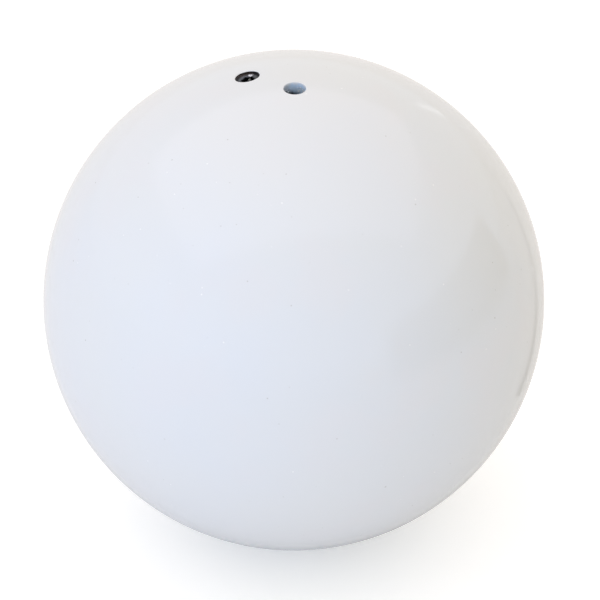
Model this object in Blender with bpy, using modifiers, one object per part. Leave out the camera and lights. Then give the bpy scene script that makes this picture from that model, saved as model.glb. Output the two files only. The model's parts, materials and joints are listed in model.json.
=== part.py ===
"""Shot put of 4 kg: a turned cast-iron ball with an adjusting bore that a socket screw closes.

The origin is the ball's centre. +Z is the turning axis, out through the open drilled hole.
The adjusting bore is radial too, tilted from +Z towards -X. From its mouth inwards it holds
the screw, the packing plug and the column of lead pellets that brings the ball to its mass.
Units are metres and radians.
"""

import math

import bmesh
import bpy

# Ball
BALL_DIAMETER = 0.1022
BALL_SEGMENTS = 96
BALL_RINGS = 48

# Open drilled hole on the turning axis
DRILLED_HOLE_DIAMETER = 0.0045
DRILLED_HOLE_DEPTH = 0.012
DRILLED_HOLE_EDGE_BREAK = 0.0002

# Adjusting bore: M5 coarse thread, drilled radially beside the turning axis
BORE_TILT = math.radians(13)
THREAD_DIAMETER = 0.005
THREAD_PITCH = 0.0008
THREAD_RELIEF = 0.00005
THREAD_RUNOUT_TURNS = 3
COUNTERSINK_DEPTH = 0.0002

# Adjusting screw: grub screw with hex socket and cup point
SCREW_LENGTH = 0.008
SCREW_SINK = 0.0006
SCREW_CHAMFER = 0.00025
SOCKET_ACROSS_FLATS = 0.0025
SOCKET_DEPTH = 0.0025
SOCKET_DRILL_RELIEF = 0.00002
CUP_DIAMETER = 0.0025
CUP_ANGLE = math.radians(120)

# Packing plug and lead charge
PLUG_LENGTH = 0.003
PLUG_EDGE_RADIUS = 0.0004
PLUG_EDGE_STEPS = 4
PELLET_COUNT = 5
PELLET_SEGMENTS = 20
PELLET_RINGS = 12

# Colour, roughness and metallic value of each finish
FINISHES = {
    "white enamel": ((0.80, 0.81, 0.82), 0.2, 0),
    "black oxide steel": ((0.035, 0.037, 0.042), 0.35, 1),
    "black rubber": ((0.03, 0.03, 0.03), 0.7, 0),
    "soft lead": ((0.30, 0.31, 0.33), 0.55, 1),
}

# Shared values
FIT_GAP = 0.0003
DRILL_POINT_ANGLE = math.radians(118)
CUTTER_OVERRUN = 0.002
ROUND_STEPS = 32
HALF_STEP = math.pi / ROUND_STEPS
HEXAGON_SIDES = 6
SHARP_EDGE = math.radians(28)
MERGE_DISTANCE = 0.00001

# What follows from the sizes above
BALL_RADIUS = BALL_DIAMETER / 2
THREAD_BORE_RADIUS = THREAD_DIAMETER / 2 + THREAD_RELIEF
THREAD_BORE_DEPTH = SCREW_SINK + SCREW_LENGTH + THREAD_RUNOUT_TURNS * THREAD_PITCH
PILOT_RADIUS = (THREAD_DIAMETER - THREAD_PITCH) / 2
SCREW_RADIUS = THREAD_BORE_RADIUS - FIT_GAP
CUP_DEPTH = CUP_DIAMETER / 2 / math.tan(CUP_ANGLE / 2)
CHARGE_RADIUS = PILOT_RADIUS - FIT_GAP
PLUG_TOP = SCREW_SINK + SCREW_LENGTH + FIT_GAP
FIRST_PELLET = PLUG_TOP + PLUG_LENGTH + FIT_GAP + CHARGE_RADIUS
PELLET_SPACING = 2 * CHARGE_RADIUS + FIT_GAP
LAST_PELLET = FIRST_PELLET + (PELLET_COUNT - 1) * PELLET_SPACING
PILOT_DEPTH = LAST_PELLET + PILOT_RADIUS / math.sin(DRILL_POINT_ANGLE / 2)


def clear_scene():
    """Remove every object and collection, so that the script can be run again."""
    for old in list(bpy.data.objects):
        bpy.data.objects.remove(old, do_unlink=True)
    for old in list(bpy.data.collections):
        bpy.data.collections.remove(old)


def new_collection(name):
    """A collection linked to the scene."""
    collection = bpy.data.collections.new(name)
    bpy.context.scene.collection.children.link(collection)
    return collection


def finish_material(name):
    """A Principled material for one of the named finishes."""
    colour, roughness, metallic = FINISHES[name]
    material = bpy.data.materials.new(name)
    material.use_nodes = True
    shader = material.node_tree.nodes["Principled BSDF"]
    shader.inputs["Base Color"].default_value = (*colour, 1)
    shader.inputs["Roughness"].default_value = roughness
    shader.inputs["Metallic"].default_value = metallic
    return material


def smoothing_nodes():
    """Geometry nodes that shade a surface smooth and keep its real edges sharp."""
    group = bpy.data.node_groups.new("smooth by angle", "GeometryNodeTree")
    group.interface.new_socket("Geometry", in_out="INPUT", socket_type="NodeSocketGeometry")
    group.interface.new_socket("Geometry", in_out="OUTPUT", socket_type="NodeSocketGeometry")
    surface_in = group.nodes.new("NodeGroupInput")
    surface_out = group.nodes.new("NodeGroupOutput")
    edge_angle = group.nodes.new("GeometryNodeInputMeshEdgeAngle")
    is_smooth = group.nodes.new("FunctionNodeCompare")
    is_smooth.operation = "LESS_EQUAL"
    is_smooth.inputs["B"].default_value = SHARP_EDGE
    smooth_faces = group.nodes.new("GeometryNodeSetShadeSmooth")
    smooth_faces.domain = "FACE"
    smooth_edges = group.nodes.new("GeometryNodeSetShadeSmooth")
    smooth_edges.domain = "EDGE"
    link = group.links.new
    link(surface_in.outputs["Geometry"], smooth_faces.inputs["Geometry"])
    link(smooth_faces.outputs["Geometry"], smooth_edges.inputs["Geometry"])
    link(edge_angle.outputs["Unsigned Angle"], is_smooth.inputs["A"])
    link(is_smooth.outputs["Result"], smooth_edges.inputs["Shade Smooth"])
    link(smooth_edges.outputs["Geometry"], surface_out.inputs["Geometry"])
    return group


def link_mesh(name, mesh, collection):
    """An object for the mesh, in its collection."""
    thing = bpy.data.objects.new(name, mesh)
    collection.objects.link(thing)
    return thing


def turned(name, profile, collection):
    """A solid turned round its own Z axis from (radius, height) points, top to bottom."""
    mesh = bpy.data.meshes.new(name)
    points = [(radius, 0, height) for radius, height in profile]
    edges = [(k, k + 1) for k in range(len(points) - 1)]
    mesh.from_pydata(points, edges, [])
    thing = link_mesh(name, mesh, collection)
    turn = thing.modifiers.new("turn", "SCREW")
    turn.axis = "Z"
    turn.steps = ROUND_STEPS
    turn.render_steps = ROUND_STEPS
    turn.use_merge_vertices = True
    turn.merge_threshold = MERGE_DISTANCE
    return thing


def sphere(name, radius, segments, rings, collection):
    """A round ball with its poles on its own Z axis."""
    mesh = bpy.data.meshes.new(name)
    shape = bmesh.new()
    bmesh.ops.create_uvsphere(shape, u_segments=segments, v_segments=rings, radius=radius)
    shape.to_mesh(mesh)
    shape.free()
    return link_mesh(name, mesh, collection)


def make_cutter(thing):
    """Mark an object as a cutter, shown as wires only."""
    thing.hide_render = True
    thing.display_type = "WIRE"
    return thing


def cut(piece, cutter):
    """Take the cutter's shape out of the piece."""
    step = piece.modifiers.new("cut " + cutter.name, "BOOLEAN")
    step.operation = "DIFFERENCE"
    step.solver = "EXACT"
    step.object = cutter


def complete(piece, finish, smoothing):
    """Give a piece its finish and its shading, once its shape is done."""
    piece.data.materials.append(finish)
    shading = piece.modifiers.new("smooth by angle", "NODES")
    shading.node_group = smoothing
    return piece


def drill_tip(radius):
    """Length of the cone that a drill of this radius leaves below its full width."""
    return radius / math.tan(DRILL_POINT_ANGLE / 2)


def make_drilled_hole_cutter(cutters):
    """A blind drilling on the turning axis, with a broken edge and the cone of its drill point."""
    radius = DRILLED_HOLE_DIAMETER / 2
    shoulder = BALL_RADIUS - DRILLED_HOLE_DEPTH
    profile = [
        (0, BALL_RADIUS + CUTTER_OVERRUN),
        (radius + DRILLED_HOLE_EDGE_BREAK + CUTTER_OVERRUN, BALL_RADIUS + CUTTER_OVERRUN),
        (radius, BALL_RADIUS - DRILLED_HOLE_EDGE_BREAK),
        (radius, shoulder),
        (0, shoulder - drill_tip(radius)),
    ]
    cutter = make_cutter(turned("drilled_hole_cutter", profile, cutters))
    # Half a step of turn keeps the cutter's facets off the ball's meridians
    cutter.rotation_euler.z = HALF_STEP
    return cutter


def make_adjusting_bore_cutter(cutters, axis):
    """The stepped bore, from its countersunk mouth to the drill point under the charge."""
    mouth = THREAD_BORE_RADIUS + COUNTERSINK_DEPTH
    step_down = THREAD_BORE_RADIUS - PILOT_RADIUS
    profile = [
        (0, CUTTER_OVERRUN),
        (mouth + CUTTER_OVERRUN, CUTTER_OVERRUN),
        (THREAD_BORE_RADIUS, -COUNTERSINK_DEPTH),
        (THREAD_BORE_RADIUS, -THREAD_BORE_DEPTH),
        (PILOT_RADIUS, -THREAD_BORE_DEPTH - step_down),
        (PILOT_RADIUS, drill_tip(PILOT_RADIUS) - PILOT_DEPTH),
        (0, -PILOT_DEPTH),
    ]
    cutter = make_cutter(turned("adjusting_bore_cutter", profile, cutters))
    cutter.parent = axis
    cutter.rotation_euler.z = HALF_STEP
    return cutter


def make_ball(parts, cutters, axis, smoothing):
    """The turned ball with both of its bores."""
    ball = sphere("cast_iron_ball", BALL_RADIUS, BALL_SEGMENTS, BALL_RINGS, parts)
    cut(ball, make_drilled_hole_cutter(cutters))
    cut(ball, make_adjusting_bore_cutter(cutters, axis))
    return complete(ball, finish_material("white enamel"), smoothing)


def make_socket_hexagon_cutter(cutters):
    """The broached hexagon of the screw's socket, with its mouth on the screw's outer face."""
    height = SOCKET_DEPTH + CUTTER_OVERRUN
    corner_radius = SOCKET_ACROSS_FLATS / 2 / math.cos(math.pi / HEXAGON_SIDES)
    mesh = bpy.data.meshes.new("socket_hexagon_cutter")
    shape = bmesh.new()
    bmesh.ops.create_cone(
        shape, cap_ends=True, segments=HEXAGON_SIDES,
        radius1=corner_radius, radius2=corner_radius, depth=height,
    )
    bmesh.ops.translate(shape, vec=(0, 0, height / 2 - SOCKET_DEPTH), verts=shape.verts)
    shape.to_mesh(mesh)
    shape.free()
    return make_cutter(link_mesh("socket_hexagon_cutter", mesh, cutters))


def make_socket_drill_cutter(cutters):
    """The drill cone that the broaching left at the bottom of the socket."""
    radius = SOCKET_ACROSS_FLATS / 2 - SOCKET_DRILL_RELIEF
    profile = [
        (0, -SOCKET_DEPTH / 2),
        (radius, -SOCKET_DEPTH / 2),
        (radius, -SOCKET_DEPTH),
        (0, -SOCKET_DEPTH - drill_tip(radius)),
    ]
    return make_cutter(turned("socket_drill_cutter", profile, cutters))


def make_screw(parts, cutters, axis, smoothing):
    """The grub screw, with its outer face at its own origin and its cup point inwards."""
    cup_radius = CUP_DIAMETER / 2
    point_taper = SCREW_RADIUS - cup_radius
    profile = [
        (0, 0),
        (SCREW_RADIUS - SCREW_CHAMFER, 0),
        (SCREW_RADIUS, -SCREW_CHAMFER),
        (SCREW_RADIUS, point_taper - SCREW_LENGTH),
        (cup_radius, -SCREW_LENGTH),
        (0, CUP_DEPTH - SCREW_LENGTH),
    ]
    screw = turned("adjusting_screw", profile, parts)
    screw.parent = axis
    screw.location.z = -SCREW_SINK
    for cutter in (make_socket_hexagon_cutter(cutters), make_socket_drill_cutter(cutters)):
        cutter.parent = screw
        cut(screw, cutter)
    return complete(screw, finish_material("black oxide steel"), smoothing)


def rounded_rim(radius, height, start):
    """Points of a quarter round on a turned rim, centred at (radius, height), clockwise from an angle."""
    angles = [start - k * math.pi / 2 / PLUG_EDGE_STEPS for k in range(PLUG_EDGE_STEPS + 1)]
    return [
        (radius + PLUG_EDGE_RADIUS * math.cos(angle), height + PLUG_EDGE_RADIUS * math.sin(angle))
        for angle in angles
    ]


def make_plug(parts, axis, smoothing):
    """The rubber plug: its nose fills the screw's cup, and its foot presses on the charge."""
    inset = FIT_GAP / math.sin(CUP_ANGLE / 2) - FIT_GAP
    nose_height = CUP_DEPTH - inset
    nose_radius = nose_height * math.tan(CUP_ANGLE / 2)
    rim = CHARGE_RADIUS - PLUG_EDGE_RADIUS
    profile = [
        (0, nose_height),
        (nose_radius, 0),
        *rounded_rim(rim, -PLUG_EDGE_RADIUS, math.pi / 2),
        *rounded_rim(rim, PLUG_EDGE_RADIUS - PLUG_LENGTH, 0),
        (0, -PLUG_LENGTH),
    ]
    plug = turned("packing_plug", profile, parts)
    plug.parent = axis
    plug.location.z = -PLUG_TOP
    return complete(plug, finish_material("black rubber"), smoothing)


def make_pellets(parts, axis, smoothing):
    """The column of round lead pellets, numbered from the plug inwards."""
    lead = finish_material("soft lead")
    for k in range(PELLET_COUNT):
        pellet = sphere(f"lead_pellet_{k + 1}", CHARGE_RADIUS, PELLET_SEGMENTS, PELLET_RINGS, parts)
        pellet.parent = axis
        pellet.location.z = -FIRST_PELLET - k * PELLET_SPACING
        complete(pellet, lead, smoothing)


def make_bore_axis(parts):
    """The empty at the bore's mouth, whose Z points out along the bore."""
    axis = bpy.data.objects.new("adjusting_bore_axis", None)
    parts.objects.link(axis)
    axis.rotation_euler.y = -BORE_TILT
    axis.location = (-BALL_RADIUS * math.sin(BORE_TILT), 0, BALL_RADIUS * math.cos(BORE_TILT))
    return axis


def main():
    """Build the ball and everything its adjusting bore holds."""
    clear_scene()
    parts = new_collection("shot_put")
    cutters = new_collection("cutters")
    smoothing = smoothing_nodes()
    axis = make_bore_axis(parts)
    make_ball(parts, cutters, axis, smoothing)
    make_screw(parts, cutters, axis, smoothing)
    make_plug(parts, axis, smoothing)
    make_pellets(parts, axis, smoothing)


main()
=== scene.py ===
"""Looks of a white enamelled shot put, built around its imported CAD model.

The ball has a painted drilled hole on its turning axis, Z, and beside it a tapped adjusting bore,
which holds a socket screw, a rubber plug and a column of lead pellets.
Lengths are metres and angles radians, unless a name says otherwise.
"""

import json
import math
from functools import partial

import bmesh
import bpy
from bpy.props import FloatProperty, FloatVectorProperty, PointerProperty
from bpy.types import NodeSocket, Operator, Panel, PropertyGroup
from mathutils import Matrix, Quaternion, Vector, noise


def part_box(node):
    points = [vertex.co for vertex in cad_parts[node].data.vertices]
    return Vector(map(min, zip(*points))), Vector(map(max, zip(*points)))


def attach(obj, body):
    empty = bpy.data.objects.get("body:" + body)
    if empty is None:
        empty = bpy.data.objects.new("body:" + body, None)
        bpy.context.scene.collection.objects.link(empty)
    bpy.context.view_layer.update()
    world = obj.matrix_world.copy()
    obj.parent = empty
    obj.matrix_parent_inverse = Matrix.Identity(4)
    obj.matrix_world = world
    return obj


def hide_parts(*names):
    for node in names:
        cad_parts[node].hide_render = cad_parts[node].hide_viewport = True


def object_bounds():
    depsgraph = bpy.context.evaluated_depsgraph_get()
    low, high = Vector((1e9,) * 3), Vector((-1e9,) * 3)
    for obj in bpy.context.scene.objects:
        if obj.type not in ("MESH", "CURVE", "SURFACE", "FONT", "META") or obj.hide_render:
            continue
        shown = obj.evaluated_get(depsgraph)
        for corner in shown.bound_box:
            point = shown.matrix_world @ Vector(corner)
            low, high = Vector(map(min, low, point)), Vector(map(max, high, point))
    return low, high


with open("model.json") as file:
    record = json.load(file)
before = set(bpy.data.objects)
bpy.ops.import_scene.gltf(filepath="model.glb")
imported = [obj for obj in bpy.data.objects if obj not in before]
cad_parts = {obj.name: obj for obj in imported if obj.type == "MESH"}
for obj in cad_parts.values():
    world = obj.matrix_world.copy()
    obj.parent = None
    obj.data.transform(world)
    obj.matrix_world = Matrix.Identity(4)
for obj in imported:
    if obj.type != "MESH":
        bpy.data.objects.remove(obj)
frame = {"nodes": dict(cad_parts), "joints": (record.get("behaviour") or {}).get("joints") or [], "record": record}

bl_info = {
    "name": "Shot put",
    "version": (1, 0, 0),
    "blender": (4, 5, 0),
    "location": "3D View > Sidebar > Shot put",
    "description": "Builds an enamelled iron shot put with its adjusting bore, screw and lead charge",
    "category": "Add Mesh",
}

CAD_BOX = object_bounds()
MM = 0.001
UP = Vector((0, 0, 1))

# Joints and thread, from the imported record
BORE_AXIS = Vector(next(j["axis"] for j in frame["joints"] if j["name"] == "screw_turn")).normalized()
THREAD_PITCH = 2 * math.pi / frame["record"]["behaviour"]["couplings"][0]["ratio"]
PELLETS = sorted(name for name in frame["nodes"] if name.startswith("lead_pellet"))

# Places of the stage. Between the distances of WHITE_FLOOR the floor's glow rises to white.
FLOOR = CAD_BOX[0].z
FLOOR_RADIUS = 4.0
WHITE_FLOOR = (0.2, 0.3)
STRIP_LENGTH = 2.0
SLIT_DISTANCE = 1.2
SLIT_FOOT = 0.06
SLIT_SIZE = (0.05, 0.2)

# Shapes that don't change with a setting. The plug reaches below its CAD foot to the first pellet, and
# each pellet is turned on from the last.
SHARP_EDGE = math.radians(30)
FLANK_SLOPE = math.tan(math.radians(30))
DRILL_SLOPE = math.tan(math.radians(59))
COUNTERSINK_NORMAL = math.radians(135)
GROOVE_FLAT = 0.1 * MM
PLUG_REACH = 0.25 * MM
PELLET_TURN = math.radians(137.5)

# Smoothness of the meshes, and how near a thread's end a point joins the circle there
BALL_SIDES = 256
BORE_SIDES = 96
PELLET_SIDES = 48
ARC_STEPS = 6
CONE_STEPS = 3
FLANK_STEPS = 4
NEAR_END = 0.002 * MM

# The adjusting bore's surround on the ball, and the gap round it that is filled with triangles
RIM_RADIUS = 4.2 * MM
RIM_GAP = 0.75 * MM

# Places of the finishes in a piece's list of materials
ENAMELLED, PAINTED, CUT = range(3)


def heights(node, near_axis=None, axis=BORE_AXIS):
    """Lowest and highest place of a CAD node along an axis through the ball's centre."""
    found = []
    for vertex in frame["nodes"][node].data.vertices:
        height = axis.dot(vertex.co)
        off_axis = (vertex.co - axis * height).length
        if near_axis is None or (off_axis < near_axis and height > 0):
            found.append(height)
    return min(found), max(found)


# Places along the bores, as heights from the ball's centre
BALL_RADIUS = (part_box("cast_iron_ball")[1].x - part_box("cast_iron_ball")[0].x) / 2
DRILLED_TIP = heights("cast_iron_ball", near_axis=MM, axis=UP)[0]
PILOT_TIP = heights("cast_iron_ball", near_axis=MM)[0]
SCREW_POINT, SCREW_FACE = heights("adjusting_screw")
PLUG_FOOT = heights("packing_plug")[0]
BORE_MATRIX = UP.rotation_difference(BORE_AXIS).to_matrix().to_4x4()

# Places in the adjusting bore: the side where dirt gathers, coloured brown also as a painted warm reflection;
# where the key rubs; a speck of paint painted light as a glint
DIRT_AND_REFLECTION_SIDE = Vector((-0.87, 0.49, 0))
RUST_AND_REFLECTION_SIDE = BORE_MATRIX.to_3x3() @ DIRT_AND_REFLECTION_SIDE
RUBBED_FACE = Vector((-0.52 * MM, 1.86 * MM, SCREW_FACE))
# A light speck of paint, placed and coloured as a painted highlight for a glint.
PAINT_CRUMB_GLINT = Vector((-0.565 * MM, 1.16 * MM, SCREW_FACE - 0.9 * MM))

# Sides of the open hole: the side painted lighter as though lit, opposite a side of painted shade; and where its
# paint runs deeper
PAINTED_LIT_SIDE = Vector((0.82, 0.57, 0))
DEEPER_SIDE = Vector((0.57, -0.82, 0))


def setting(kind, limits, name, description, default):
    """A value that the user can change."""
    return kind(name=name, description=description, default=default, **limits)


LENGTH_LIMITS = {"min": 0, "precision": 5, "subtype": "DISTANCE", "unit": "LENGTH"}
length_prop = partial(setting, FloatProperty, LENGTH_LIMITS)
share_prop = partial(setting, FloatProperty, {"min": 0, "max": 1, "subtype": "FACTOR"})
number_prop = partial(setting, FloatProperty, {"min": 0, "precision": 4})
colour_prop = partial(setting, FloatVectorProperty, {"size": 3, "min": 0, "max": 1, "subtype": "COLOR"})


def angle_prop(name, description, degrees):
    """An angle that the user can change."""
    return setting(FloatProperty, {"subtype": "ANGLE"}, name, description, math.radians(degrees))


class BallSettings(PropertyGroup):
    """Sizes and finishes of the ball."""

    hole_diameter: length_prop("Drilled hole", "Diameter of the open hole", 4.5 * MM)
    hole_edge: length_prop("Hole edge", "Radius of the paint round the open hole's edge", 0.14 * MM)
    thread_diameter: length_prop("Tapped thread", "Diameter at the bottom of the bore's thread", 5.0 * MM)
    pilot_diameter: length_prop("Pilot bore", "Diameter of the bore below the thread", 4.2 * MM)
    thread_depth: length_prop("Thread depth", "How deep the bore is tapped", 11 * MM)
    countersink: length_prop("Countersink", "Depth of the bore's countersink", 0.2 * MM)
    mouth_edge: length_prop("Mouth edge", "Radius of the paint round the countersink", 0.12 * MM)
    enamel: colour_prop("Enamel", "Colour of the enamel", (0.80, 0.81, 0.82))
    enamel_cool: colour_prop("Cool enamel", "Colour where the enamel is cooler", (0.785, 0.805, 0.84))
    enamel_warm: colour_prop("Warm enamel", "Colour of the enamel's faint warmer clouds", (0.805, 0.80, 0.82))
    enamel_roughness: share_prop("Enamel roughness", "How matt the enamel is", 0.12)
    peel: share_prop("Orange peel", "How much the enamel's surface ripples", 0.06)
    speck: colour_prop("Specks", "Colour of the dust specks in the enamel", (0.36, 0.33, 0.29))
    # Whiter than the enamel: a painted highlight for the glint of each raised dot of paint.
    nib_glint: colour_prop("Nibs", "Colour of the raised nibs in the enamel", (0.98, 0.98, 0.98))
    # The bluish colour is painted cool light in the hole; the greyed one is painted shade on the hole's other
    # side.
    primer_and_cool_light: colour_prop("Primer", "Colour of the thin paint in the open hole", (0.6, 0.77, 1.0))
    primer_in_painted_shade: colour_prop("Greyed primer", "Colour of that paint on its dirtier side", (0.42, 0.44, 0.48))
    # Near white: painted highlights that stand for the glints of small dots of paint.
    glinting_drops: colour_prop("Paint drops", "Colour of the drops in the open hole", (0.93, 0.96, 1.0))
    hole_dark: colour_prop("Hole bottom", "Colour of the iron deep in the open hole", (0.020, 0.027, 0.040))
    iron: colour_prop("Cut iron", "Colour of the bare iron in the tapped bore", (0.018, 0.018, 0.022))
    # Also a painted warm reflection, on the side where it gathers.
    rust_and_warm_reflection: colour_prop("Rust", "Colour of the rust in the tapped bore", (0.034, 0.026, 0.024))


class ScrewSettings(PropertyGroup):
    """Sizes and finishes of the adjusting screw."""

    thread_diameter: length_prop("Thread", "Outer diameter of the screw's thread", 4.92 * MM)
    root_diameter: length_prop("Thread root", "Diameter at the bottom of the screw's thread", 4.06 * MM)
    crest: length_prop("Crest", "Width of the thread's flat crest", 0.1 * MM)
    socket_width: length_prop("Socket", "Width of the hexagon socket across its flats", 2.5 * MM)
    socket_depth: length_prop("Socket depth", "Depth of the hexagon socket", 2.5 * MM)
    socket_mouth: length_prop("Socket mouth", "Diameter of the chamfer round the socket", 3.3 * MM)
    face_diameter: length_prop("Face", "Diameter of the screw's flat outer face", 4.0 * MM)
    cup_diameter: length_prop("Cup point", "Diameter of the cup at the screw's point", 2.5 * MM)
    cup_depth: length_prop("Cup depth", "Depth of the cup at the screw's point", 0.722 * MM)
    oxide: colour_prop("Black oxide", "Colour of the blackened steel", (0.026, 0.030, 0.038))
    worn: colour_prop("Worn steel", "Colour where the key has worn the steel bright", (0.90, 0.90, 0.93))
    # Brown: old oil, and also a painted warm reflection on the side where it gathers.
    grease_and_warm_reflection: colour_prop("Grease", "Colour of the old grease on the screw", (0.17, 0.135, 0.125))
    # Also the colour of the one speck that is a painted highlight.
    paint: colour_prop("Paint crumbs", "Colour of the crumbs of paint on the screw", (0.62, 0.63, 0.65))


class ChargeSettings(PropertyGroup):
    """Sizes and finishes of the plug and the lead pellets."""

    plug_diameter: length_prop("Plug", "Diameter of the rubber plug", 4.14 * MM)
    plug_edge: length_prop("Plug edge", "Radius of the plug's edges", 0.35 * MM)
    seam: length_prop("Mould seam", "Height of the plug's mould seam", 0.02 * MM)
    squeeze: length_prop("Squeeze", "Gap left between the pieces of the charge", 0.02 * MM)
    pellet_diameter: length_prop("Pellet", "Diameter of a lead pellet", 4.02 * MM)
    pellet_dents: length_prop("Dents", "Depth of the dents in the pellets", 0.05 * MM)
    rubber: colour_prop("Rubber", "Colour of the plug", (0.03, 0.03, 0.03))
    lead: colour_prop("Lead", "Colour of clean lead", (0.27, 0.28, 0.295))
    lead_oxide: colour_prop("Lead oxide", "Colour of dulled lead", (0.17, 0.175, 0.18))


class StageSettings(PropertyGroup):
    """Floor, lamps and camera."""

    floor: colour_prop("Floor", "Colour of the floor", (0.86, 0.85, 0.835))
    floor_glow: number_prop("Floor glow", "Light that the camera sees from the floor itself", 0.38)
    mirrored_glow: share_prop("Glow in reflections", "Share of the floor's glow that reflections show", 0.2)
    surround_light: colour_prop("Surround light", "Light from all round", (0.72, 0.70, 0.605))
    front_tint: colour_prop("Front tint", "Colour of the low lamp in front", (0.39, 0.56, 0.94))
    front_brightness: number_prop("Front brightness", "Brightness of the low lamp in front", 1.26)
    front_azimuth: angle_prop("Front azimuth", "Direction of the low lamp in front", -60)
    side_tint: colour_prop("Side tint", "Colour of the low lamp at the left", (0.35, 0.535, 0.94))
    side_brightness: number_prop("Side brightness", "Brightness of the low lamp at the left", 1.1)
    side_azimuth: angle_prop("Side azimuth", "Direction of the low lamp at the left", -120)
    low_distance: length_prop("Low lamps' distance", "From the ball's centre to the low lamps", 1.6)
    low_width: length_prop("Low lamps' width", "Width of each low lamp", 4.0)
    low_height: length_prop("Low lamps' height", "Height of each low lamp", 0.7)
    top_tint: colour_prop("Overhead tint", "Colour of the panel overhead", (0.90, 0.82, 1.0))
    top_brightness: number_prop("Overhead brightness", "Brightness of the panel overhead", 0.475)
    top_azimuth: angle_prop("Overhead azimuth", "Direction that the panel's front edge faces", -45.3)
    top_height: length_prop("Overhead height", "From the ball's centre up to the panel", 1.75)
    top_front: length_prop("Overhead front", "From the ball's centre to the panel's front edge", 0.91)
    top_width: length_prop("Overhead width", "Width of the panel along its front edge", 4.5)
    top_depth: length_prop("Overhead depth", "Depth of the panel, front to back", 3.5)
    slit_brightness: number_prop("Slit brightness", "Brightness of the narrow lamp behind", 0.5)
    slit_azimuth: angle_prop("Slit azimuth", "Direction of the narrow lamp", 99.6)
    card: colour_prop("Card", "Colour of the warm card at the right", (0.55, 0.45, 0.24))
    card_azimuth: angle_prop("Card azimuth", "Direction of the card", 22)
    card_distance: length_prop("Card distance", "From the ball's centre to the card", 0.42)
    card_width: length_prop("Card width", "Width of the card", 0.62)
    card_height: length_prop("Card height", "Height of the card", 0.18)
    strip: colour_prop("Strip", "Colour of the strip on the floor behind", (0.45, 0.43, 0.40))
    strip_width: length_prop("Strip width", "Width of the strip on the floor behind", 0.009)
    azimuth: angle_prop("Azimuth", "Camera's direction round the ball", 34.2)
    elevation: angle_prop("Elevation", "Camera's angle above the floor", 34.6)
    roll: angle_prop("Roll", "How far the camera leans to its left", 0.3)
    distance: length_prop("Distance", "From the ball's centre to the camera", 1.02)
    shown_radius: number_prop("Ball in the frame", "Ball's radius as a share of the frame", 0.4177)
    aside: number_prop("Ball aside", "Ball's centre left of the frame's, as a share of it", 0.0103)


def add_ring(shape, radius, height, count, matrix=Matrix.Identity(4)):
    """A circle of vertices. radius and height are numbers or functions of the turn's share, 0 to 1."""
    ring = []
    for k in range(count):
        share = k / count
        r = radius(share) if callable(radius) else radius
        h = height(share) if callable(height) else height
        angle = 2 * math.pi * share
        ring.append(shape.verts.new(matrix @ Vector((r * math.cos(angle), r * math.sin(angle), h))))
    return ring


def add_rings(shape, profile, count, matrix=Matrix.Identity(4)):
    """Circles of vertices at the (radius, height) points of a profile."""
    return [add_ring(shape, radius, height, count, matrix) for radius, height in profile]


def straight(start, end, steps):
    """Points of a profile, evenly spaced from just after start up to end."""
    rise = end[0] - start[0], end[1] - start[1]
    return [(start[0] + rise[0] * k / steps, start[1] + rise[1] * k / steps) for k in range(1, steps + 1)]


def add_face(shape, corners, finish):
    """A face with a finish, leaving out corners that are the same vertex."""
    distinct = list(dict.fromkeys(corners))
    if len(distinct) > 2:
        shape.faces.new(distinct).material_index = finish


def join_rings(shape, rings, finish=ENAMELLED):
    """Faces between each ring and the next."""
    for first, second in zip(rings, rings[1:]):
        count = len(first)
        for k in range(count):
            after = (k + 1) % count
            add_face(shape, (first[k], second[k], second[after], first[after]), finish)


def close_ring(shape, ring, tip, finish=ENAMELLED, starts=False):
    """A fan of faces from a ring to a tip. It starts the skin or ends it."""
    point = shape.verts.new(tip)
    count = len(ring)
    for k in range(count):
        after = (k + 1) % count
        corners = (point, ring[k], ring[after]) if starts else (ring[k], point, ring[after])
        add_face(shape, corners, finish)


def mouth_arc(wall_point, wall_normal_angle, edge_radius):
    """Points (radius, height) of the rounded edge from the ball's surface into a wall of a bore."""
    normal = Vector((math.cos(wall_normal_angle), math.sin(wall_normal_angle)))
    along = Vector((normal.y, -normal.x))
    start = Vector(wall_point) - normal * edge_radius
    inner_radius = BALL_RADIUS - edge_radius
    half = start.dot(along)
    slide = math.sqrt(half * half - start.length_squared + inner_radius * inner_radius) - half
    centre = start + along * slide
    first = math.atan2(centre.y, centre.x)
    angles = [first + (wall_normal_angle - first) * k / ARC_STEPS for k in range(ARC_STEPS + 1)]
    return [centre + edge_radius * Vector((math.cos(a), math.sin(a))) for a in angles]


def thread_rows(half_crest, depth):
    """Offsets of a thread's rows within one pitch: its flats and the steps of its flanks."""
    flank = depth * FLANK_SLOPE
    down = [half_crest + flank * k / FLANK_STEPS for k in range(FLANK_STEPS + 1)]
    return [-THREAD_PITCH / 2, *[-x for x in reversed(down)], 0, *down]


def thread_radius(offset, half_crest, major, minor):
    """Radius of a thread at an offset from the middle of its crest."""
    return max(minor, major - max(0, abs(offset) - half_crest) / FLANK_SLOPE)


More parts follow.
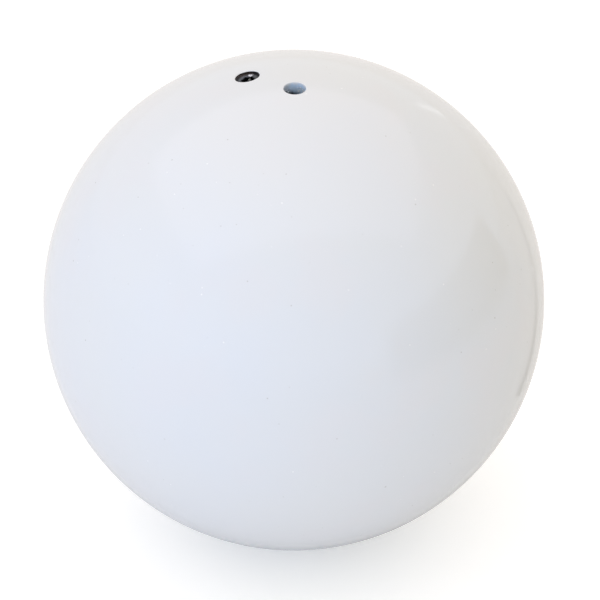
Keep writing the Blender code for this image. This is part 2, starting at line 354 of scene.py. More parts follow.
def threaded_wall(shape, top, bottom, rows, radius_at, matrix=Matrix.Identity(4), finish=ENAMELLED):
    """A right-hand helical wall between the flat circles at top and bottom. Returns the two circles.

    radius_at gives the radius from the offset within the thread and the height. Points that come
    near an end join its circle, which leaves no slivers.
    """
    count = BORE_SIDES
    upper = add_ring(shape, radius_at(0, top), top, count, matrix)
    lower = add_ring(shape, radius_at(0, bottom), bottom, count, matrix)
    spare_turns = 2
    first_turn = math.floor(-top / THREAD_PITCH) - spare_turns
    last_turn = math.ceil(-bottom / THREAD_PITCH) + spare_turns
    grid = []
    for turn in range(first_turn, last_turn + 1):
        for offset in rows:
            line = []
            for k in range(count):
                height = THREAD_PITCH * (k / count - turn) - offset
                if height >= top - NEAR_END:
                    line.append(upper[k])
                elif height <= bottom + NEAR_END:
                    line.append(lower[k])
                else:
                    radius = radius_at(offset, height)
                    angle = 2 * math.pi * k / count
                    place = Vector((radius * math.cos(angle), radius * math.sin(angle), height))
                    line.append(shape.verts.new(matrix @ place))
            grid.append(line)
    turn_rows = len(rows)
    for j in range(turn_rows, len(grid) - 1):
        for k in range(count):
            if k + 1 < count:
                right = (grid[j + 1][k + 1], grid[j][k + 1])
            else:
                right = (grid[j + 1 - turn_rows][0], grid[j - turn_rows][0])
            add_face(shape, (grid[j][k], grid[j + 1][k], *right), finish)
    return upper, lower


def add_object(name, data, matrix=Matrix.Identity(4)):
    """A new object of the scene, in its place."""
    thing = bpy.data.objects.new(name, data)
    bpy.context.scene.collection.objects.link(thing)
    thing.matrix_world = matrix
    return thing


def add_mesh(name, shape, materials, matrix=Matrix.Identity(4)):
    """A shape turned into an object with its materials."""
    mesh = bpy.data.meshes.new(name)
    shape.to_mesh(mesh)
    shape.free()
    for material in materials:
        mesh.materials.append(material)
    return add_object(name, mesh, matrix)


def finish_piece(name, shape, materials, matrix=Matrix.Identity(4)):
    """A closed shape turned into an object, smooth but for its sharp edges. Stops if it isn't closed."""
    bmesh.ops.recalc_face_normals(shape, faces=shape.faces)
    open_edges = sum(1 for edge in shape.edges if not edge.is_manifold)
    if open_edges:
        raise RuntimeError(f"{name} has {open_edges} edges that aren't closed")
    piece = add_mesh(name, shape, materials, matrix)
    piece.data.shade_smooth()
    piece.data.set_sharp_from_angle(angle=SHARP_EDGE)
    return piece


def add_node(tree, kind, inputs=None, **settings):
    """A node with its settings. Each input is a value or the socket that feeds it."""
    node = tree.nodes.new(kind)
    for key, value in settings.items():
        setattr(node, key, value)
    for socket, value in (inputs or {}).items():
        if isinstance(value, NodeSocket):
            tree.links.new(value, node.inputs[socket])
        else:
            node.inputs[socket].default_value = value
    return node


def fed_node(kind, inputs, **settings):
    """A node in the tree of the sockets that feed it."""
    tree = next(value.id_data for value in inputs.values() if isinstance(value, NodeSocket))
    return add_node(tree, kind, inputs, **settings)


def new_material(name, **values):
    """A material whose uniform values are set on its shader's own sockets, and its object coordinates."""
    material = bpy.data.materials.new(name)
    material.use_nodes = True
    tree = material.node_tree
    for socket, value in values.items():
        tree.nodes["Principled BSDF"].inputs[socket.replace("_", " ")].default_value = value
    return material, add_node(tree, "ShaderNodeTexCoord").outputs["Object"]


def feed(material, **values):
    """Link values to the material's shader, and return the material."""
    tree = material.node_tree
    for socket, value in values.items():
        tree.links.new(value, tree.nodes["Principled BSDF"].inputs[socket.replace("_", " ")])
    return material


def calculate(operation, first, second=0.0):
    """The output of a Math node. The names below it stand for the most used ones."""
    return fed_node("ShaderNodeMath", {0: first, 1: second}, operation=operation).outputs[0]


plus = partial(calculate, "ADD")
minus = partial(calculate, "SUBTRACT")
times = partial(calculate, "MULTIPLY")
larger = partial(calculate, "MAXIMUM")


def mix(factor, first, second):
    """The output of a colour mix. Colours are (r, g, b) or sockets."""
    tree = factor.id_data
    node = add_node(tree, "ShaderNodeMix", data_type="RGBA")
    inputs = {socket.name: socket for socket in node.inputs if socket.enabled}
    for name, value in (("Factor", factor), ("A", first), ("B", second)):
        if isinstance(value, NodeSocket):
            tree.links.new(value, inputs[name])
        else:
            inputs[name].default_value = (*value, 1)
    return next(socket for socket in node.outputs if socket.enabled)


def remap(value, from_range, to_range=(0, 1), smooth=False):
    """A value carried from one range to another, and kept inside it. ease does it smoothly."""
    inputs = dict(enumerate((value, *from_range, *to_range)))
    kind = "SMOOTHSTEP" if smooth else "LINEAR"
    return fed_node("ShaderNodeMapRange", inputs, interpolation_type=kind).outputs[0]


ease = partial(remap, smooth=True)


def measure(operation, place, other=(0, 0, 0)):
    """The number that a Vector Math node gives. to_side is how far a place lies in a direction."""
    return fed_node("ShaderNodeVectorMath", {0: place, 1: other}, operation=operation).outputs["Value"]


to_side = partial(measure, "DOT_PRODUCT")


def spot(place, middle, radius):
    """A mask: 1 near the middle of a spot, fading to 0 at its radius."""
    return ease(measure("DISTANCE", place, middle), (radius, 0.4 * radius))


def noise_value(place, size, detail=2, stretch=None):
    """Noise whose features are about the given size. stretch scales the place first."""
    if stretch is not None:
        place = fed_node("ShaderNodeMapping", {"Vector": place, "Scale": stretch}).outputs[0]
    inputs = {"Vector": place, "Scale": 1 / size, "Detail": detail}
    return fed_node("ShaderNodeTexNoise", inputs).outputs["Fac"]


def scattered_dots(place, spacing, radius, share=1.0, full_share=0.0):
    """A mask of sparse round dots. A share of them shows, from faint to full, and full_share is full."""
    cells = fed_node("ShaderNodeTexVoronoi", {"Vector": place, "Scale": 1 / spacing}).outputs
    dots = ease(cells["Distance"], (radius / spacing, 0.5 * radius / spacing))
    chance = fed_node("ShaderNodeSeparateColor", {0: cells["Color"]}).outputs[0]
    return times(dots, remap(chance, (1 - share, 1 - full_share)))


def bump(height, depth, strength=1.0, under=None):
    """The normal of a bumpy surface. depth is the height in metres of a full step."""
    inputs = {"Height": height, "Distance": depth, "Strength": strength}
    if under is not None:
        inputs["Normal"] = under
    return fed_node("ShaderNodeBump", inputs).outputs["Normal"]


def enamel_material(settings):
    """Glossy white enamel: soft tone drift, orange peel, dust specks, raised dots of paint coloured whiter as
    painted highlights for their glints, and faint smudges.
    """
    material, place = new_material("white_enamel", IOR=1.5)
    drift_size, cloud_size, smudge_size = 45 * MM, 16 * MM, 14 * MM
    swell_size, peel_size, scuff_size = 9 * MM, 1.6 * MM, 2.5 * MM
    swell_height, peel_height, nib_height = 0.02 * MM, 0.01 * MM, 0.04 * MM
    speck_strength = 0.45
    drift = remap(noise_value(place, drift_size, 4), (0.35, 0.65))
    tone = mix(drift, settings.enamel, settings.enamel_cool)
    clouds = ease(noise_value(place, cloud_size, 3), (0.5, 0.68), (0, 0.5))
    tone = mix(clouds, tone, settings.enamel_warm)
    fine_specks = scattered_dots(place, 3 * MM, 0.2 * MM, share=0.6)
    large_specks = scattered_dots(place, 7 * MM, 0.27 * MM, share=0.7)
    specks = larger(fine_specks, large_specks)
    # Raised dots of paint, bumped up, and coloured whiter than the enamel as painted highlights for their glints.
    glinting_nibs = scattered_dots(place, 3.6 * MM, 0.22 * MM, share=0.7)
    colour = mix(glinting_nibs, tone, settings.nib_glint)
    colour = mix(times(specks, speck_strength), colour, settings.speck)
    rippled = bump(noise_value(place, swell_size), swell_height, settings.peel)
    rippled = bump(noise_value(place, peel_size), peel_height, settings.peel, rippled)
    pitted = bump(minus(glinting_nibs, specks), nib_height, 0.6, rippled)
    smudge = noise_value(place, smudge_size, 4)
    scuffs = noise_value(place, scuff_size, 3, stretch=(1, 0.08, 0.3))
    scuffs = remap(scuffs, (0.66, 0.74))
    rough = settings.enamel_roughness
    roughness = remap(smudge, (0.3, 0.7), (rough * 0.7, rough * 1.4))
    roughness = plus(roughness, times(scuffs, rough))
    return feed(material, Base_Color=colour, Roughness=roughness, Normal=pitted)


def hole_paint_material(settings):
    """Thin paint inside the open hole: white at the edge, then a bluish colour that is painted cool light, lighter
    on one side and greyer on the other as painted light and shade, with whitish dots painted as glints, dark at
    the bottom.
    """
    material, place = new_material("hole_paint", IOR=1.5)
    run_size, run_depth, paint_height = 0.9 * MM, 1.2 * MM, 0.08 * MM
    thin_depths, bare_depths = (0, 1 * MM), (1.6 * MM, 3 * MM)
    first_drops, last_drops = (0.9 * MM, 1.3 * MM), (2.7 * MM, 2.2 * MM)
    height = fed_node("ShaderNodeSeparateXYZ", {0: place}).outputs["Z"]
    depth = minus(BALL_RADIUS, height)
    runs = noise_value(place, run_size, 3, stretch=(1, 1, 0.4))
    aside = to_side(place, PAINTED_LIT_SIDE)
    run_down = larger(to_side(place, DEEPER_SIDE), 0)
    wander = times(minus(runs, 0.5), run_depth)
    wander = minus(wander, times(run_down, 1.1))
    uneven = plus(depth, wander)
    # Below the white edge the colour turns bluish: painted cool light, not a coloured paint.
    thin = ease(uneven, thin_depths)
    # Toward the lit side the lighter paint reaches deeper, and away from it the colour greys: painted light and
    # painted shade.
    uneven = minus(uneven, times(aside, 0.3))
    bare = ease(uneven, bare_depths)
    painted_shade_side = ease(aside, (-0.3 * MM, -1.8 * MM), (0, 0.8))
    primer_and_cool_light = mix(painted_shade_side, settings.primer_and_cool_light, settings.primer_in_painted_shade)
    colour = mix(thin, settings.enamel, primer_and_cool_light)
    colour = mix(bare, colour, settings.hole_dark)
    band = ease(depth, first_drops)
    band = times(band, ease(depth, last_drops))
    far_aside = ease(calculate("ABSOLUTE", aside), (0.4 * MM, 0.8 * MM))
    # Small dots of paint, bumped up, coloured near white as painted highlights for their glints.
    glinting_drops = scattered_dots(place, 0.5 * MM, 0.26 * MM, share=0.8, full_share=0.5)
    glinting_drops = times(glinting_drops, times(band, far_aside))
    colour = mix(glinting_drops, colour, settings.glinting_drops)
    roughness = remap(runs, (0.3, 0.7), (0.22, 0.4))
    bumpy = bump(glinting_drops, paint_height, 0.8)
    bumpy = bump(runs, paint_height, 0.4, bumpy)
    return feed(material, Base_Color=colour, Roughness=roughness, Normal=bumpy)


def cut_iron_material(settings):
    """Bare iron of the tapped bore, dark with oil and flecked with iron oxide that gathers on one side, where its
    brown is also a painted warm reflection.
    """
    material, place = new_material("cut_iron", Metallic=0.8)
    patch_size, grain_size, grain_height = 0.9 * MM, 0.12 * MM, 0.01 * MM
    patches = noise_value(place, patch_size, 4)
    # Browner toward one side: iron oxide, and also a painted warm reflection.
    toward_rust_and_reflection = remap(to_side(place, RUST_AND_REFLECTION_SIDE), (0, 2.2 * MM), (-0.25, 0.2))
    rust_and_reflection = ease(plus(patches, toward_rust_and_reflection), (0.48, 0.62))
    colour = mix(rust_and_reflection, settings.iron, settings.rust_and_warm_reflection)
    roughness = remap(patches, (0.3, 0.7), (0.35, 0.65))
    grain = bump(noise_value(place, grain_size, 3), grain_height, 0.5)
    return feed(material, Base_Color=colour, Roughness=roughness, Normal=grain)


def ball_outer_rings(shape, first_angle):
    """Rings of the ball's surface from the drilled hole's edge nearly to the far pole, ever wider apart."""
    first_step, growth, largest_step = 0.12 * MM, 0.07, 1.25 * MM
    start = first_angle * BALL_RADIUS
    end = math.pi * BALL_RADIUS
    arcs = [start]
    while arcs[-1] < end:
        arcs.append(arcs[-1] + min(largest_step, first_step + growth * (arcs[-1] - start)))
    stretch = (end - start) / (arcs[-1] - start)
    angles = [(start + (arc - start) * stretch) / BALL_RADIUS for arc in arcs[1:-1]]
    profile = [(BALL_RADIUS * math.sin(angle), BALL_RADIUS * math.cos(angle)) for angle in angles]
    return add_rings(shape, profile, BALL_SIDES)


def drilled_hole_rings(shape, settings):
    """Rings of the open hole, from above its tip to the end of its rounded edge."""
    radius = settings.hole_diameter / 2
    shoulder = DRILLED_TIP + radius / DRILL_SLOPE
    arc = mouth_arc((radius, 0), math.pi, settings.hole_edge)
    cone = straight((0, DRILLED_TIP), (radius, shoulder), steps=4)
    wall = straight((radius, shoulder), (radius, arc[-1].y), steps=14)[:-1]
    inside = add_rings(shape, [*cone, *wall], BALL_SIDES)
    edge = add_rings(shape, reversed(arc), BALL_SIDES)
    return inside, edge, math.atan2(arc[0].x, arc[0].y)


def open_window(shape, radius):
    """Take the faces round the adjusting bore out of the ball's surface."""
    doomed = []
    for face in shape.faces:
        centre = face.calc_center_median()
        height = BORE_AXIS.dot(centre)
        if height > 0 and (centre - BORE_AXIS * height).length < radius:
            doomed.append(face)
    bmesh.ops.delete(shape, geom=doomed, context="FACES")


def add_adjusting_bore(shape, settings):
    """The adjusting bore from its surround on the ball to its tip."""
    pilot = settings.pilot_diameter / 2
    major = settings.thread_diameter / 2
    mouth_radius = major + settings.countersink
    arc = mouth_arc((mouth_radius, BALL_RADIUS), COUNTERSINK_NORMAL, settings.mouth_edge)
    surround_steps = 6
    rim_width = arc[0].x - RIM_RADIUS
    surround = [RIM_RADIUS + rim_width * k / surround_steps for k in range(surround_steps)]
    on_ball = [(r, math.sqrt(BALL_RADIUS**2 - r * r)) for r in surround]
    rings = add_rings(shape, [*on_ball, *arc], BORE_SIDES, BORE_MATRIX)
    top = BALL_RADIUS - settings.countersink
    bottom = BALL_RADIUS - settings.thread_depth
    half_groove = GROOVE_FLAT / 2
    run_out = 2.5 * THREAD_PITCH

    def radius_at(offset, height):
        cut = thread_radius(offset, half_groove, major, pilot)
        fade = min(1, (height - bottom) / run_out)
        cone = mouth_radius - (BALL_RADIUS - height)
        return max(pilot + (cut - pilot) * fade, cone)

    rows = thread_rows(half_groove, major - pilot)
    upper, lower = threaded_wall(shape, top, bottom, rows, radius_at, BORE_MATRIX, CUT)
    join_rings(shape, [*rings, upper])
    shoulder = PILOT_TIP + pilot / DRILL_SLOPE
    wall = straight((pilot, bottom), (pilot, shoulder), steps=20)
    cone = straight((pilot, shoulder), (0, PILOT_TIP), CONE_STEPS)[:-1]
    inner = add_rings(shape, [*wall, *cone], BORE_SIDES, BORE_MATRIX)
    join_rings(shape, [lower, *inner], CUT)
    close_ring(shape, inner[-1], BORE_MATRIX @ (UP * PILOT_TIP), CUT)


class SHOT_PUT_OT_ball(Operator):
    """Build the enamelled ball with its drilled hole and its tapped bore"""

    bl_idname = "shot_put.ball"
    bl_label = "Ball"

    def execute(self, context):
        settings = context.scene.shot_put_ball
        shape = bmesh.new()
        inside, edge, first_angle = drilled_hole_rings(shape, settings)
        close_ring(shape, inside[0], (0, 0, DRILLED_TIP), PAINTED, starts=True)
        join_rings(shape, [*inside, edge[0]], PAINTED)
        outside = ball_outer_rings(shape, first_angle)
        join_rings(shape, [*edge, *outside])
        close_ring(shape, outside[-1], (0, 0, -BALL_RADIUS))
        open_window(shape, RIM_RADIUS + RIM_GAP)
        add_adjusting_bore(shape, settings)
        gap = [edge for edge in shape.edges if edge.is_boundary]
        bmesh.ops.triangle_fill(shape, use_beauty=True, edges=gap, normal=BORE_AXIS)
        materials = (enamel_material(settings), hole_paint_material(settings), cut_iron_material(settings))
        ball = finish_piece("enamelled_ball", shape, materials)
        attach(ball, "ball")
        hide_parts("cast_iron_ball")
        return {"FINISHED"}


def black_oxide_material(settings):
    """Blackened steel with an oily sheen, brown oil on one side that is also a painted warm reflection, bright
    wear, and bits of the ball's paint, one of them painted light as a glint.
    """
    coat = {"Coat_Weight": 0.15, "Coat_Roughness": 0.2, "Coat_IOR": 1.45}
    material, place = new_material("black_oxide", **coat)
    patch_size, fine_size, fine_height = 0.7 * MM, 0.16 * MM, 0.012 * MM
    rubbed_radius, crumb_glint_radius = 0.8 * MM, 0.4 * MM
    split = fed_node("ShaderNodeSeparateXYZ", {0: place}).outputs
    squares = [calculate("POWER", split[name], 2) for name in ("X", "Y")]
    off_axis = calculate("SQRT", plus(*squares))
    patches = noise_value(place, patch_size, 4)
    fine = noise_value(place, fine_size, 3)
    # Brown oily patches toward one side: dirt, and also a painted warm reflection.
    toward_dirt_and_reflection = remap(to_side(place, DIRT_AND_REFLECTION_SIDE), (1.0 * MM, 2.1 * MM), (-0.4, 0.2))
    grease_and_reflection = ease(plus(patches, toward_dirt_and_reflection), (0.46, 0.6))
    colour = mix(grease_and_reflection, settings.oxide, settings.grease_and_warm_reflection)
    mouth = settings.socket_mouth / 2
    near_mouth = ease(off_axis, (mouth + 0.1 * MM, mouth - 0.02 * MM))
    face_depths = SCREW_FACE - 0.4 * MM, SCREW_FACE - 0.02 * MM
    near_face = ease(split["Z"], face_depths, (0, 0.08))
    edge_wear = times(near_mouth, near_face)
    rubbed = spot(place, RUBBED_FACE, rubbed_radius)
    crest = settings.thread_diameter / 2
    crest_wear = ease(off_axis, (crest - 0.12 * MM, crest - 0.01 * MM), (0, 0.35))
    chance = ease(fine, (0.34, 0.5))
    wear = times(larger(larger(rubbed, crest_wear), edge_wear), chance)
    flecks = ease(fine, (0.68, 0.76), (0, 0.25))
    colour = mix(larger(wear, flecks), colour, settings.worn)
    # One light speck of paint placed and coloured as a painted highlight for a glint; the scattered ones are real
    # bits of paint.
    crumb_glint = plus(spot(place, PAINT_CRUMB_GLINT, crumb_glint_radius), fine)
    crumb_glint = ease(crumb_glint, (0.85, 1.15))
    crumbs_and_glint = larger(crumb_glint, scattered_dots(place, 1.3 * MM, 0.2 * MM, share=0.5))
    colour = mix(crumbs_and_glint, colour, settings.paint)
    dull = larger(grease_and_reflection, crumbs_and_glint)
    metallic = remap(dull, (0, 1), (0.9, 0.05))
    roughness = remap(patches, (0.3, 0.7), (0.25, 0.4))
    roughness = plus(roughness, times(dull, 0.3))
    grain = bump(fine, fine_height, 0.5)
    return feed(material, Base_Color=colour, Metallic=metallic, Roughness=roughness, Normal=grain)


def socket_rings(shape, settings):
    """Rings of the hexagon socket, from above its drill tip to its chamfered mouth."""
    half_width = settings.socket_width / 2
    mouth = settings.socket_mouth / 2
    floor = SCREW_FACE - settings.socket_depth
    drill_share, chamfer_slope = 0.985, 0.7
    drill = half_width * drill_share
    tip = floor - drill / DRILL_SLOPE

    def hexagon(share):
        turned = (share * 6 + 0.5) % 1 - 0.5
        return half_width / math.cos(turned * math.pi / 3)

    def chamfer_end(share):
        return SCREW_FACE - (mouth - hexagon(share)) * chamfer_slope

    rings = add_rings(shape, straight((0, tip), (drill, floor), CONE_STEPS), BORE_SIDES)
    rings.append(add_ring(shape, hexagon, floor, BORE_SIDES))
    wall_steps = 6
    for k in range(1, wall_steps + 1):
        share_up = k / wall_steps

        def height(share, share_up=share_up):
            return floor + (chamfer_end(share) - floor) * share_up

        rings.append(add_ring(shape, hexagon, height, BORE_SIDES))
    rings.append(add_ring(shape, mouth, SCREW_FACE, BORE_SIDES))
    return rings, tip


class SHOT_PUT_OT_screw(Operator):
    """Build the threaded adjusting screw with its hexagon socket and cup point"""

    bl_idname = "shot_put.screw"
    bl_label = "Adjusting screw"

    def execute(self, context):
        settings = context.scene.shot_put_screw
        major = settings.thread_diameter / 2
        minor = settings.root_diameter / 2
        half_crest = settings.crest / 2
        face = settings.face_diameter / 2
        cup = settings.cup_diameter / 2
        shape = bmesh.new()
        socket, tip = socket_rings(shape, settings)
        close_ring(shape, socket[0], (0, 0, tip), starts=True)

        def radius_at(offset, height):
            head_chamfer = face + SCREW_FACE - height
            point_chamfer = cup + height - SCREW_POINT
            return min(thread_radius(offset, half_crest, major, minor), head_chamfer, point_chamfer)

        rows = thread_rows(half_crest, major - minor)
        upper, lower = threaded_wall(shape, SCREW_FACE, SCREW_POINT, rows, radius_at)
        join_rings(shape, [*socket, upper])
        cup_tip = SCREW_POINT + settings.cup_depth
        cup_profile = straight((cup, SCREW_POINT), (0, cup_tip), CONE_STEPS)[:-1]
        cup_rings = add_rings(shape, cup_profile, BORE_SIDES)
        join_rings(shape, [lower, *cup_rings])
        close_ring(shape, cup_rings[-1], (0, 0, cup_tip))
        screw = finish_piece("threaded_screw", shape, [black_oxide_material(settings)], BORE_MATRIX)
        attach(screw, "screw")
        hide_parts("adjusting_screw")
        return {"FINISHED"}


def rubber_material(settings):
    """Black moulded rubber, matt and slightly grained, with a dusty bloom."""
    material, place = new_material("black_rubber", IOR=1.45)
    bloom_size, grain_size, grain_height = 1.3 * MM, 0.08 * MM, 0.01 * MM
    most_bloom = 0.35
    bloom = noise_value(place, bloom_size, 4)
    bloom = ease(bloom, (0.45, 0.75), (0, most_bloom))
    dusty = tuple(channel * 2.6 for channel in settings.rubber)
    colour = mix(bloom, settings.rubber, dusty)
    roughness = remap(bloom, (0, most_bloom), (0.55, 0.8))
    grain = bump(noise_value(place, grain_size), grain_height, 0.5)
    return feed(material, Base_Color=colour, Roughness=roughness, Normal=grain)


class SHOT_PUT_OT_plug(Operator):
    """Build the rubber plug, whose nose fills the screw's cup and whose foot is dished by a pellet"""

    bl_idname = "shot_put.plug"
    bl_label = "Packing plug"

    def execute(self, context):
        settings = context.scene.shot_put_charge
        screw = context.scene.shot_put_screw
        gap = settings.squeeze
        radius = settings.plug_diameter / 2
        edge = settings.plug_edge
        top = SCREW_POINT - gap
        nose_radius = screw.cup_diameter / 2 - gap
        nose_tip = SCREW_POINT + screw.cup_depth - 2 * gap
        pellet_low, pellet_high = heights(PELLETS[0])
        pellet_middle = (pellet_low + pellet_high) / 2
        dish = settings.pellet_diameter / 2 + gap
        foot = PLUG_FOOT - PLUG_REACH
        dish_radius = math.sqrt(dish**2 - (foot - pellet_middle) ** 2)
        quarter = [math.pi / 2 * k / ARC_STEPS for k in range(ARC_STEPS + 1)]
        profile = straight((0, nose_tip), (nose_radius, top), steps=4)
        profile += [(nose_radius + gap, top - gap), (nose_radius + 3 * gap, top)]
        profile += [(radius - edge + edge * math.sin(a), top - edge + edge * math.cos(a)) for a in quarter]
        profile += straight((radius, top - edge), (radius, foot + edge), steps=8)[:-1]
        profile += [(radius - edge + edge * math.cos(a), foot + edge - edge * math.sin(a)) for a in quarter]
        dish_steps = 5
        dish_angles = [math.asin(dish_radius / dish) * k / dish_steps for k in range(dish_steps, 0, -1)]
        profile += [(dish * math.sin(a), pellet_middle + dish * math.cos(a)) for a in dish_angles]
        shape = bmesh.new()

        def seamed(radius_here):
            seam_width = 0.01

            def at(share):
                beside = min(abs((share * 2 + 0.5) % 1 - 0.5), seam_width) / seam_width
                inward = (1 - beside) * settings.seam if radius_here > radius - gap else 0
                return radius_here - inward

            return at

        rings = add_rings(shape, [(seamed(r), h) for r, h in profile], BORE_SIDES)
        close_ring(shape, rings[0], (0, 0, nose_tip), starts=True)
        join_rings(shape, rings)
        close_ring(shape, rings[-1], (0, 0, pellet_middle + dish))
        plug = finish_piece("rubber_plug", shape, [rubber_material(settings)], BORE_MATRIX)
        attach(plug, "plug")
        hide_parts("packing_plug")
        return {"FINISHED"}


def lead_material(settings):
    """Soft lead, dull with oxide and brighter on its rubbed high spots."""
    material, place = new_material("soft_lead", Metallic=1.0)
    patch_size, scratch_size, scratch_depth = 1.2 * MM, 0.25 * MM, 0.02 * MM
    patches = noise_value(place, patch_size, 5)
    dull = ease(patches, (0.4, 0.6))
    colour = mix(dull, settings.lead, settings.lead_oxide)
    roughness = remap(patches, (0.3, 0.7), (0.38, 0.68))
    scratches = noise_value(place, scratch_size, 3, stretch=(1, 0.2, 1))
    scratches = bump(scratches, scratch_depth, 0.6)
    return feed(material, Base_Color=colour, Roughness=roughness, Normal=scratches)


class SHOT_PUT_OT_pellets(Operator):
    """Build the column of lead pellets, each a little dented and flattened where it touches the next"""

    bl_idname = "shot_put.pellets"
    bl_label = "Lead pellets"

    def execute(self, context):
        settings = context.scene.shot_put_charge
        lead = lead_material(settings)
        radius = settings.pellet_diameter / 2
        half_turn = PELLET_SIDES // 2
        tilts = [math.pi * j / half_turn for j in range(1, half_turn)]
        profile = [(radius * math.sin(tilt), radius * math.cos(tilt)) for tilt in tilts]
        dent_size = 1.3 * MM
        middles = [sum(heights(name)) / 2 for name in PELLETS]
        half_spacing = (middles[0] - middles[1] - settings.squeeze) / 2
        for place, (name, middle) in enumerate(zip(PELLETS, middles)):
            shape = bmesh.new()
            rings = add_rings(shape, profile, PELLET_SIDES)
            close_ring(shape, rings[0], (0, 0, radius), starts=True)
            join_rings(shape, rings)
            close_ring(shape, rings[-1], (0, 0, -radius))
            for vertex in shape.verts:
                seed = vertex.co / dent_size + UP * (middle / MM)
                vertex.co *= 1 - settings.pellet_dents / radius * abs(noise.noise(seed))
                vertex.co.z = max(-half_spacing, min(half_spacing, vertex.co.z))
            turned = Matrix.Translation((0, 0, middle)) @ Matrix.Rotation(PELLET_TURN * place, 4, "Z")
            title = name.replace("lead_pellet", "soft_lead_pellet")
            pellet = finish_piece(title, shape, [lead], BORE_MATRIX @ turned)
            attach(pellet, "ball")
            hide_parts(name)
        return {"FINISHED"}


def floor_material(settings):
    """A pale matt floor that glows to white for the camera, and a little in reflections."""
    material, place = new_material("pale_floor", Roughness=0.9, Emission_Color=(1, 1, 1, 1))
    speckle_size = 4 * MM
    darker = tuple(channel * 0.985 for channel in settings.floor)
    tinted = mix(noise_value(place, speckle_size), settings.floor, darker)
    seen = add_node(material.node_tree, "ShaderNodeLightPath").outputs
    mirrored = larger(seen["Is Glossy Ray"], seen["Is Transmission Ray"])
    mirrored = times(mirrored, settings.mirrored_glow * settings.floor_glow)
    looked_at = ease(measure("LENGTH", place), WHITE_FLOOR, (settings.floor_glow, 1))
    looked_at = times(looked_at, seen["Is Camera Ray"])
    return feed(material, Base_Color=tinted, Emission_Strength=larger(looked_at, mirrored))


def level_direction(azimuth):
    """The level direction at an azimuth from +X."""
    return Vector((math.cos(azimuth), math.sin(azimuth), 0))


def add_lamp(name, matrix, size, tint, brightness):
    """An even soft panel that shines along its own -Z. Brightness 1 looks white in a mirror."""
    data = bpy.data.lights.new(name, "AREA")
    data.shape = "RECTANGLE"
    data.size, data.size_y = size
    data.energy = brightness * math.pi * size[0] * size[1]
    data.color = tint
    lamp = add_object(name, data, matrix)
    lamp.visible_camera = False
    return lamp


def upright(azimuth, distance, foot, height):
    """The place of an upright rectangle that faces the ball from an azimuth."""
    direction = level_direction(azimuth)
    turn = direction.to_track_quat("Z", "Y").to_matrix().to_4x4()
    return Matrix.Translation(direction * distance + UP * (foot + height / 2)) @ turn


def add_stage_object(name, shape, material):
    """An object of the stage, out of the camera's sight."""
    thing = add_mesh(name, shape, [material])
    thing.visible_camera = False
    return thing


def add_matt_card(name, finish, colour, width, depth):
    """A flat matt card, a little mottled, as an object of the stage."""
    material, place = new_material(finish, Roughness=0.8)
    mottle_size = 30 * MM
    darker = tuple(channel * 0.9 for channel in colour)
    feed(material, Base_Color=mix(noise_value(place, mottle_size, 3), colour, darker))
    shape = bmesh.new()
    bmesh.ops.create_grid(shape, x_segments=1, y_segments=1, size=0.5)
    bmesh.ops.scale(shape, vec=(width, depth, 1.0), verts=shape.verts)
    return add_stage_object(name, shape, material)


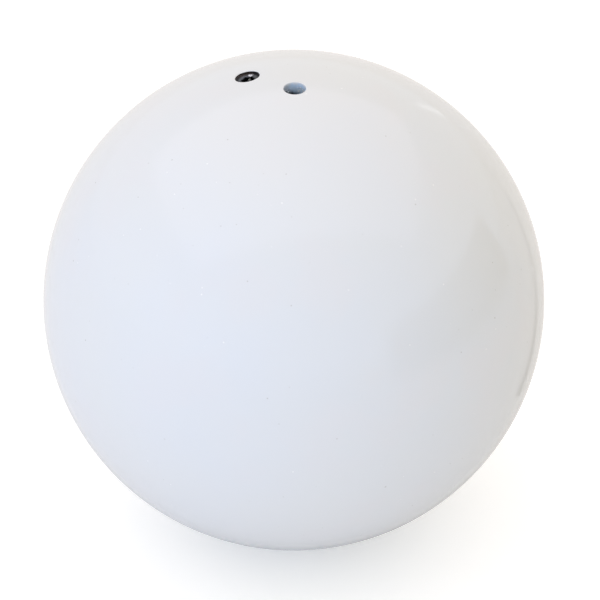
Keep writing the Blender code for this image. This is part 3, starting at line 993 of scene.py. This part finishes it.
class SHOT_PUT_OT_stage(Operator):
    """Build the floor with its card and strip, the lamps, the surrounding light and the camera"""

    bl_idname = "shot_put.stage"
    bl_label = "Stage"

    def execute(self, context):
        settings = context.scene.shot_put_stage
        self.add_floor(settings)
        self.add_card(settings)
        self.add_strip(settings)
        self.add_low_lamps(settings)
        self.add_overhead_lamp(settings)
        self.add_slit_lamp(settings)
        self.set_world(context.scene, settings)
        self.add_camera(context.scene, settings)
        return {"FINISHED"}

    def add_floor(self, settings):
        """A wide round floor under the ball."""
        shape = bmesh.new()
        bmesh.ops.create_circle(shape, cap_ends=True, segments=64, radius=FLOOR_RADIUS)
        floor = add_stage_object("floor", shape, floor_material(settings))
        floor.location.z = FLOOR
        floor.visible_camera = True

    def add_card(self, settings):
        """A low warm card that stands at the right and shades that side a little."""
        width, height = settings.card_width, settings.card_height
        card = add_matt_card("card", "warm_card", settings.card, width, height)
        card.matrix_world = upright(settings.card_azimuth, settings.card_distance, FLOOR, height)

    def add_strip(self, settings):
        """A long strip on the floor behind, seen only in the ball: the thin line near its right edge."""
        width = settings.strip_width
        strip = add_matt_card("floor_strip", "grey_strip", settings.strip, width, STRIP_LENGTH)
        aside = 1.05 * BALL_RADIUS
        nearest = 1.1 * BALL_RADIUS
        strip.location = (aside, nearest + STRIP_LENGTH / 2, FLOOR + MM / 2)
        strip.visible_diffuse = False
        strip.visible_shadow = False

    def add_low_lamps(self, settings):
        """Two low cool lamps, in front and at the left. Reflections don't show them."""
        size = settings.low_width, settings.low_height
        lamps = (
            ("front_lamp", settings.front_azimuth, settings.front_tint, settings.front_brightness),
            ("side_lamp", settings.side_azimuth, settings.side_tint, settings.side_brightness),
        )
        for name, azimuth, tint, brightness in lamps:
            place = upright(azimuth, settings.low_distance, 0, settings.low_height)
            lamp = add_lamp(name, place, size, tint, brightness)
            lamp.visible_glossy = False

    def add_overhead_lamp(self, settings):
        """A level panel overhead, whose front edge shows in the ball."""
        forwards = level_direction(settings.top_azimuth)
        middle = forwards * (settings.top_front - settings.top_depth / 2) + UP * settings.top_height
        place = Matrix.Translation(middle) @ Matrix.Rotation(settings.top_azimuth, 4, "Z")
        size = settings.top_depth, settings.top_width
        add_lamp("overhead_lamp", place, size, settings.top_tint, settings.top_brightness)

    def add_slit_lamp(self, settings):
        """A narrow upright lamp far behind, seen only as a short streak in the ball."""
        place = upright(settings.slit_azimuth, SLIT_DISTANCE, FLOOR + SLIT_FOOT, SLIT_SIZE[1])
        lamp = add_lamp("slit_lamp", place, SLIT_SIZE, (1, 1, 1), settings.slit_brightness)
        lamp.visible_diffuse = False

    def set_world(self, scene, settings):
        """A soft surrounding light, white where it is looked at."""
        world = bpy.data.worlds.new("soft_surround")
        world.use_nodes = True
        tree = world.node_tree
        background = tree.nodes["Background"]
        seen = add_node(tree, "ShaderNodeLightPath").outputs
        looked_at = larger(seen["Is Camera Ray"], seen["Is Glossy Ray"])
        looked_at = larger(looked_at, seen["Is Transmission Ray"])
        colour = mix(looked_at, settings.surround_light, (1, 1, 1))
        tree.links.new(colour, background.inputs["Color"])
        background.inputs["Strength"].default_value = 1
        scene.world = world

    def add_camera(self, scene, settings):
        """A long lens at the photograph's angle, with the ball as large and in the same place."""
        right = level_direction(settings.azimuth)
        back = right.cross(UP) * math.cos(settings.elevation) + UP * math.sin(settings.elevation)
        data = bpy.data.cameras.new("camera")
        half_angle = math.asin(BALL_RADIUS / settings.distance)
        data.lens = settings.shown_radius * data.sensor_width / math.tan(half_angle)
        camera = add_object("camera", data)
        target = right * settings.aside * data.sensor_width / data.lens * settings.distance
        camera.location = back * settings.distance
        look = (target - camera.location).normalized()
        lean = Quaternion(UP, settings.roll)
        camera.rotation_euler = (look.to_track_quat("-Z", "Y") @ lean).to_euler()
        data.clip_start, data.clip_end = 0.05, 20
        scene.camera = camera
        scene.view_settings.view_transform = "Standard"


class SHOT_PUT_PT_panel(Panel):
    """The shot put's pieces and settings"""

    bl_idname = "SHOT_PUT_PT_panel"
    bl_label = "Shot put"
    bl_space_type = "VIEW_3D"
    bl_region_type = "UI"
    bl_category = "Shot put"

    def draw(self, context):
        for settings_name, _, operators in SECTIONS:
            box = self.layout.box()
            settings = getattr(context.scene, settings_name)
            for name in settings.__annotations__:
                box.prop(settings, name)
            for operator in operators:
                box.operator(operator.bl_idname)


SECTIONS = (
    ("shot_put_ball", BallSettings, (SHOT_PUT_OT_ball,)),
    ("shot_put_screw", ScrewSettings, (SHOT_PUT_OT_screw,)),
    ("shot_put_charge", ChargeSettings, (SHOT_PUT_OT_plug, SHOT_PUT_OT_pellets)),
    ("shot_put_stage", StageSettings, (SHOT_PUT_OT_stage,)),
)
CLASSES = (
    *(group for _, group, _ in SECTIONS),
    *(operator for _, _, operators in SECTIONS for operator in operators),
    SHOT_PUT_PT_panel,
)


def register():
    """Register the classes and hang the settings on the scene."""
    for cls in CLASSES:
        bpy.utils.register_class(cls)
    for name, group, _ in SECTIONS:
        setattr(bpy.types.Scene, name, PointerProperty(type=group))


def unregister():
    """Take the settings and classes away again."""
    for name, _, _ in SECTIONS:
        delattr(bpy.types.Scene, name)
    for cls in reversed(CLASSES):
        bpy.utils.unregister_class(cls)


def main():
    """Build everything."""
    register()
    bpy.ops.shot_put.ball()
    bpy.ops.shot_put.screw()
    bpy.ops.shot_put.plug()
    bpy.ops.shot_put.pellets()
    bpy.ops.shot_put.stage()


if __name__ == "__main__":
    main()
